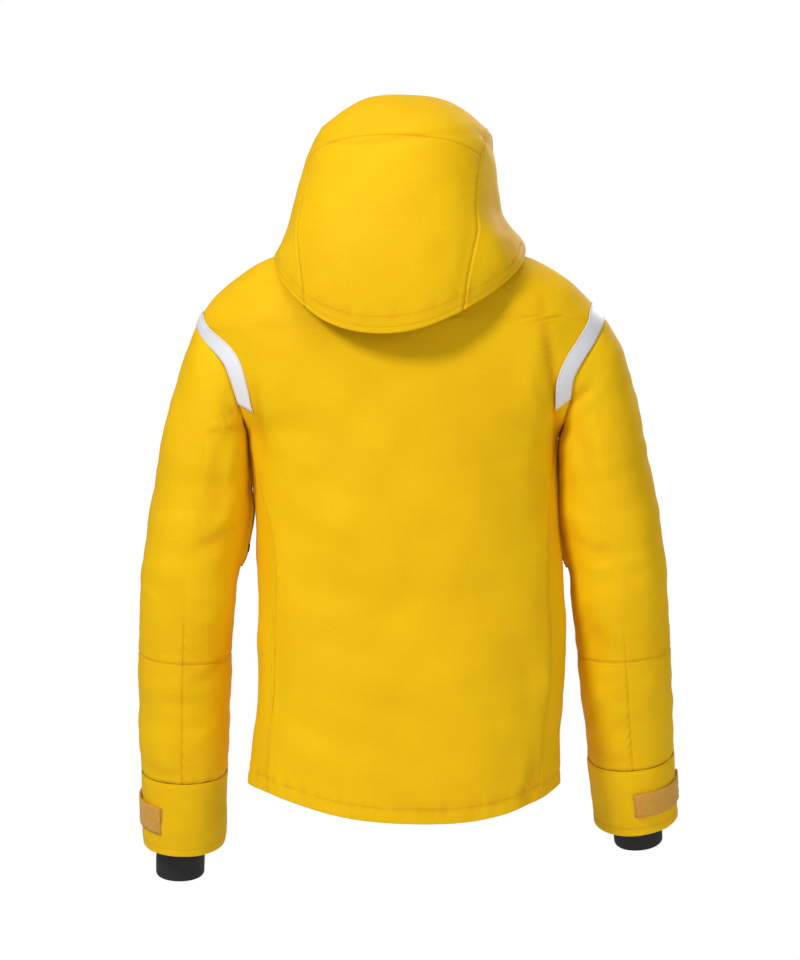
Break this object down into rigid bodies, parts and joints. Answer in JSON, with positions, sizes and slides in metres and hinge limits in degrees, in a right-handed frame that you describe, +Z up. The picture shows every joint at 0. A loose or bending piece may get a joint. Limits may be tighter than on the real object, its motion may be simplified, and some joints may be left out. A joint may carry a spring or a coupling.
{
  "type": "ski jacket",
  "caption": "Insulated hooded ski jacket with lift-off hood, bent sleeves, reflective shoulder bands, hook-and-loop cuffs, inner wrist gaiters and zipped front, pockets and vents.",
  "frame": {"origin": "middle of the neck at the height of the back collar seam", "axes": "+Z up, -Y the way the jacket faces, +X the wearer's left"},
  "size_m": [0.7014, 0.3279, 1.0266],
  "materials": {
    "shell_fabric": "fine matt woven shell, yellow",
    "lining_fabric": "smooth woven lining, charcoal",
    "reflective_tape": "silver reflective tape",
    "knit": "black stretch knit",
    "hook_and_loop": "brushed loop, tan",
    "zip_tape": "coated zip tape and coil",
    "zip_metal": "satin black",
    "black_plastic": "moulded, satin",
    "cord": "braided elastic cord"
  },
  "bodies": {
    "root": {"back_panel": "shell_fabric", "front_panel_left": "shell_fabric", "side_panel_left": "shell_fabric", "front_panel_right": "shell_fabric", "side_panel_right": "shell_fabric", "body_lining": "lining_fabric", "powder_skirt": "lining_fabric", "collar": "shell_fabric", "collar_lining": "lining_fabric", "neck_label": "lining_fabric", "hanger_loop": "lining_fabric", "main_zip_left": "zip_tape", "main_zip_right": "zip_tape", "main_zip_bottom_box": "black_plastic", "storm_flap": "lining_fabric", "hand_zip_left": "zip_tape", "pocket_bag_left": "lining_fabric", "hand_zip_right": "zip_tape", "pocket_bag_right": "lining_fabric", "chest_zip": "zip_tape", "hem_cord": "cord", "hem_cord_lock_left": "black_plastic", "hem_cord_lock_right": "black_plastic", "shoulder_band_left": "reflective_tape", "shoulder_band_right": "reflective_tape"},
    "main_slider": {"main_zip_slider": "zip_metal"},
    "main_pull": {"main_zip_pull": "zip_metal"},
    "hand_slider_left": {"hand_zip_left_slider": "zip_metal"},
    "hand_pull_left": {"hand_zip_left_pull": "zip_metal"},
    "hand_slider_right": {"hand_zip_right_slider": "zip_metal"},
    "hand_pull_right": {"hand_zip_right_pull": "zip_metal"},
    "chest_slider": {"chest_zip_slider": "zip_metal"},
    "chest_pull": {"chest_zip_pull": "zip_metal"},
    "arm_left": {"upper_sleeve_left": "shell_fabric", "vent_zip_left": "zip_tape"},
    "forearm_left": {"lower_sleeve_left": "shell_fabric", "cuff_left": "shell_fabric", "loop_patch_left": "hook_and_loop", "wrist_gaiter_left": "knit"},
    "tab_left": {"cuff_tab_left": "hook_and_loop"},
    "vent_slider_left": {"vent_zip_slider_left": "zip_metal"},
    "arm_right": {"upper_sleeve_right": "shell_fabric", "vent_zip_right": "zip_tape"},
    "forearm_right": {"lower_sleeve_right": "shell_fabric", "cuff_right": "shell_fabric", "loop_patch_right": "hook_and_loop", "wrist_gaiter_right": "knit"},
    "tab_right": {"cuff_tab_right": "hook_and_loop"},
    "vent_slider_right": {"vent_zip_slider_right": "zip_metal"},
    "hood": {"hood_center_panel": "shell_fabric", "hood_top_panel": "shell_fabric", "hood_visor": "shell_fabric", "hood_side_left": "shell_fabric", "hood_cord_lock_left": "black_plastic", "hood_side_right": "shell_fabric", "hood_cord_lock_right": "black_plastic", "hood_lining": "lining_fabric", "hood_base_band": "shell_fabric"}
  },
  "joints": [
    {"name": "main_zip_travel", "type": "slide", "parent": "root", "child": "main_slider", "axis": [0, -0.0372, -0.9993], "range_m": [0, 0.7]},
    {"name": "main_pull_swing", "type": "hinge", "parent": "main_slider", "child": "main_pull", "pos_m": [0, -0.10613, 0.03706], "axis": [-1, 0, 0], "range_deg": [0, 150]},
    {"name": "hand_zip_travel_left", "type": "slide", "parent": "root", "child": "hand_slider_left", "axis": [0.0205, -0.0315, -0.9993], "range_m": [0, 0.15]},
    {"name": "hand_pull_swing_left", "type": "hinge", "parent": "hand_slider_left", "child": "hand_pull_left", "pos_m": [0.12326, -0.10756, -0.38077], "axis": [-0.9211, -0.3892, -0.0066], "range_deg": [0, 150]},
    {"name": "hand_zip_travel_right", "type": "slide", "parent": "root", "child": "hand_slider_right", "axis": [-0.0205, -0.0315, -0.9993], "range_m": [0, 0.15]},
    {"name": "hand_pull_swing_right", "type": "hinge", "parent": "hand_slider_right", "child": "hand_pull_right", "pos_m": [-0.12326, -0.10756, -0.38077], "axis": [-0.9211, 0.3892, 0.0066], "range_deg": [0, 150]},
    {"name": "chest_zip_travel", "type": "slide", "parent": "root", "child": "chest_slider", "axis": [0, -0.0192, -0.9998], "range_m": [0, 0.1]},
    {"name": "chest_pull_swing", "type": "hinge", "parent": "chest_slider", "child": "chest_pull", "pos_m": [0.07272, -0.11588, -0.13388], "axis": [-0.9929, -0.1191, 0.0023], "range_deg": [0, 150]},
    {"name": "shoulder_left", "type": "hinge", "parent": "root", "child": "arm_left", "pos_m": [0.203, 0, -0.14], "axis": [0, -1, 0], "range_deg": [0, 45]},
    {"name": "elbow_left", "type": "hinge", "parent": "arm_left", "child": "forearm_left", "pos_m": [0.276, 0, -0.415], "axis": [-1, 0, 0], "range_deg": [0, 45]},
    {"name": "cuff_tab_lift_left", "type": "hinge", "parent": "forearm_left", "child": "tab_left", "pos_m": [0.31277, -0.02694, -0.73937], "axis": [-0.0072, 0.3392, 0.9407], "range_deg": [0, 120]},
    {"name": "vent_zip_travel_left", "type": "slide", "parent": "arm_left", "child": "vent_slider_left", "axis": [-0.0627, 0, 0.998], "range_m": [0, 0.12]},
    {"name": "shoulder_right", "type": "hinge", "parent": "root", "child": "arm_right", "pos_m": [-0.203, 0, -0.14], "axis": [0, 1, 0], "range_deg": [0, 45]},
    {"name": "elbow_right", "type": "hinge", "parent": "arm_right", "child": "forearm_right", "pos_m": [-0.276, 0, -0.415], "axis": [-1, 0, 0], "range_deg": [0, 45]},
    {"name": "cuff_tab_lift_right", "type": "hinge", "parent": "forearm_right", "child": "tab_right", "pos_m": [-0.297, -0.02473, -0.7198], "axis": [-0.0891, -0.3895, -0.9167], "range_deg": [0, 120]},
    {"name": "vent_zip_travel_right", "type": "slide", "parent": "arm_right", "child": "vent_slider_right", "axis": [0.0627, 0, 0.998], "range_m": [0, 0.12]},
    {"name": "hood_lift_off", "type": "slide", "parent": "root", "child": "hood", "axis": [0, 0, 1], "range_m": [0, 0.3]}
  ]
}
